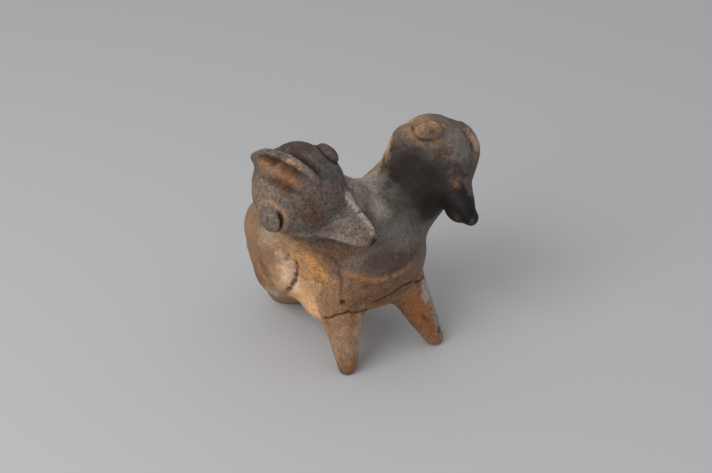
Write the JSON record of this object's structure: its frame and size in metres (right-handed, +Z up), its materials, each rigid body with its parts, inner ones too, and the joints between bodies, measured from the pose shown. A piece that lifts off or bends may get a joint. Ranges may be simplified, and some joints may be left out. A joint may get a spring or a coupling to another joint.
{
  "type": "double whistle",
  "caption": "Hand-built clay whistle shaped as a two-headed crested bird: egg-shaped body with paired chambers, splayed conical legs and a broad tail that holds the mouthpiece.",
  "frame": {"origin": "on the ground, under the middle of the whole object", "axes": "+Z up, -Y the way the bird faces, -X the bird's own right"},
  "size_m": [0.0624, 0.0544, 0.0631],
  "materials": {
    "tan_clay": "burnished, unglazed",
    "buff_clay": "burnished, unglazed",
    "grey_clay": "burnished, smoke-clouded",
    "smoked_clay": "burnished, smoke-blackened"
  },
  "bodies": {
    "root": {"chamber_partition": "tan_clay", "tail_mouthpiece": "buff_clay", "right_body_bowl": "tan_clay", "right_leg": "tan_clay", "right_neck": "smoked_clay", "right_head": "grey_clay", "right_beak": "smoked_clay", "right_crest": "grey_clay", "right_head_outer_eye": "grey_clay", "right_head_inner_eye": "buff_clay", "left_body_bowl": "tan_clay", "left_leg": "tan_clay", "left_neck": "smoked_clay", "left_head": "grey_clay", "left_beak": "smoked_clay", "left_crest": "grey_clay", "left_head_outer_eye": "grey_clay", "left_head_inner_eye": "buff_clay"}
  },
  "joints": []
}
